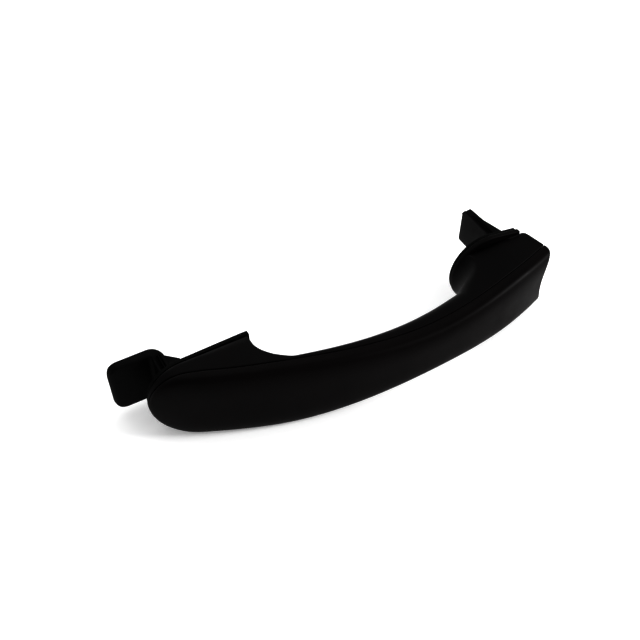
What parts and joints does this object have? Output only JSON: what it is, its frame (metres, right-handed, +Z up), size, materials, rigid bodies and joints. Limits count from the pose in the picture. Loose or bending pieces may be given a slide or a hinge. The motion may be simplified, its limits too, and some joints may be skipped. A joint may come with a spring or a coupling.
{
  "type": "car door handle",
  "caption": "Bowed exterior pull handle with a hooked hinge tongue at one end and a pull leg at the other.",
  "frame": {"origin": "middle of the front seal's face, where it lies on the door skin", "axes": "+X from the hinge end to the pull end, +Y into the door, +Z up along the height of the grip"},
  "size_m": [0.1814, 0.0572, 0.0326],
  "materials": {
    "cover_black": "satin moulded black, fine grain",
    "carrier_black": "satin moulded black",
    "nylon_black": "glass-filled nylon, slightly mottled",
    "seal_rubber": "matt moulded rubber",
    "zinc_steel": "zinc plated",
    "damping_foam": "closed-cell foam"
  },
  "bodies": {
    "door_side": {"front_seal": "seal_rubber", "rear_seal": "seal_rubber"},
    "grip": {"outer_cover": "cover_black", "inner_carrier": "carrier_black", "hinge_tongue": "nylon_black", "pull_leg": "nylon_black", "stiffener_bar": "zinc_steel", "damping_pad_1": "damping_foam", "damping_pad_2": "damping_foam", "cover_screw_front": "zinc_steel", "cover_screw_rear": "zinc_steel", "tongue_screw_upper": "zinc_steel", "tongue_screw_lower": "zinc_steel", "leg_screw_upper": "zinc_steel", "leg_screw_lower": "zinc_steel"}
  },
  "joints": [
    {"name": "pull_hinge", "type": "hinge", "parent": "door_side", "child": "grip", "pos_m": [-0.0277, 0.0119, 0], "axis": [0, 0, -1], "range_deg": [0, 6]}
  ]
}
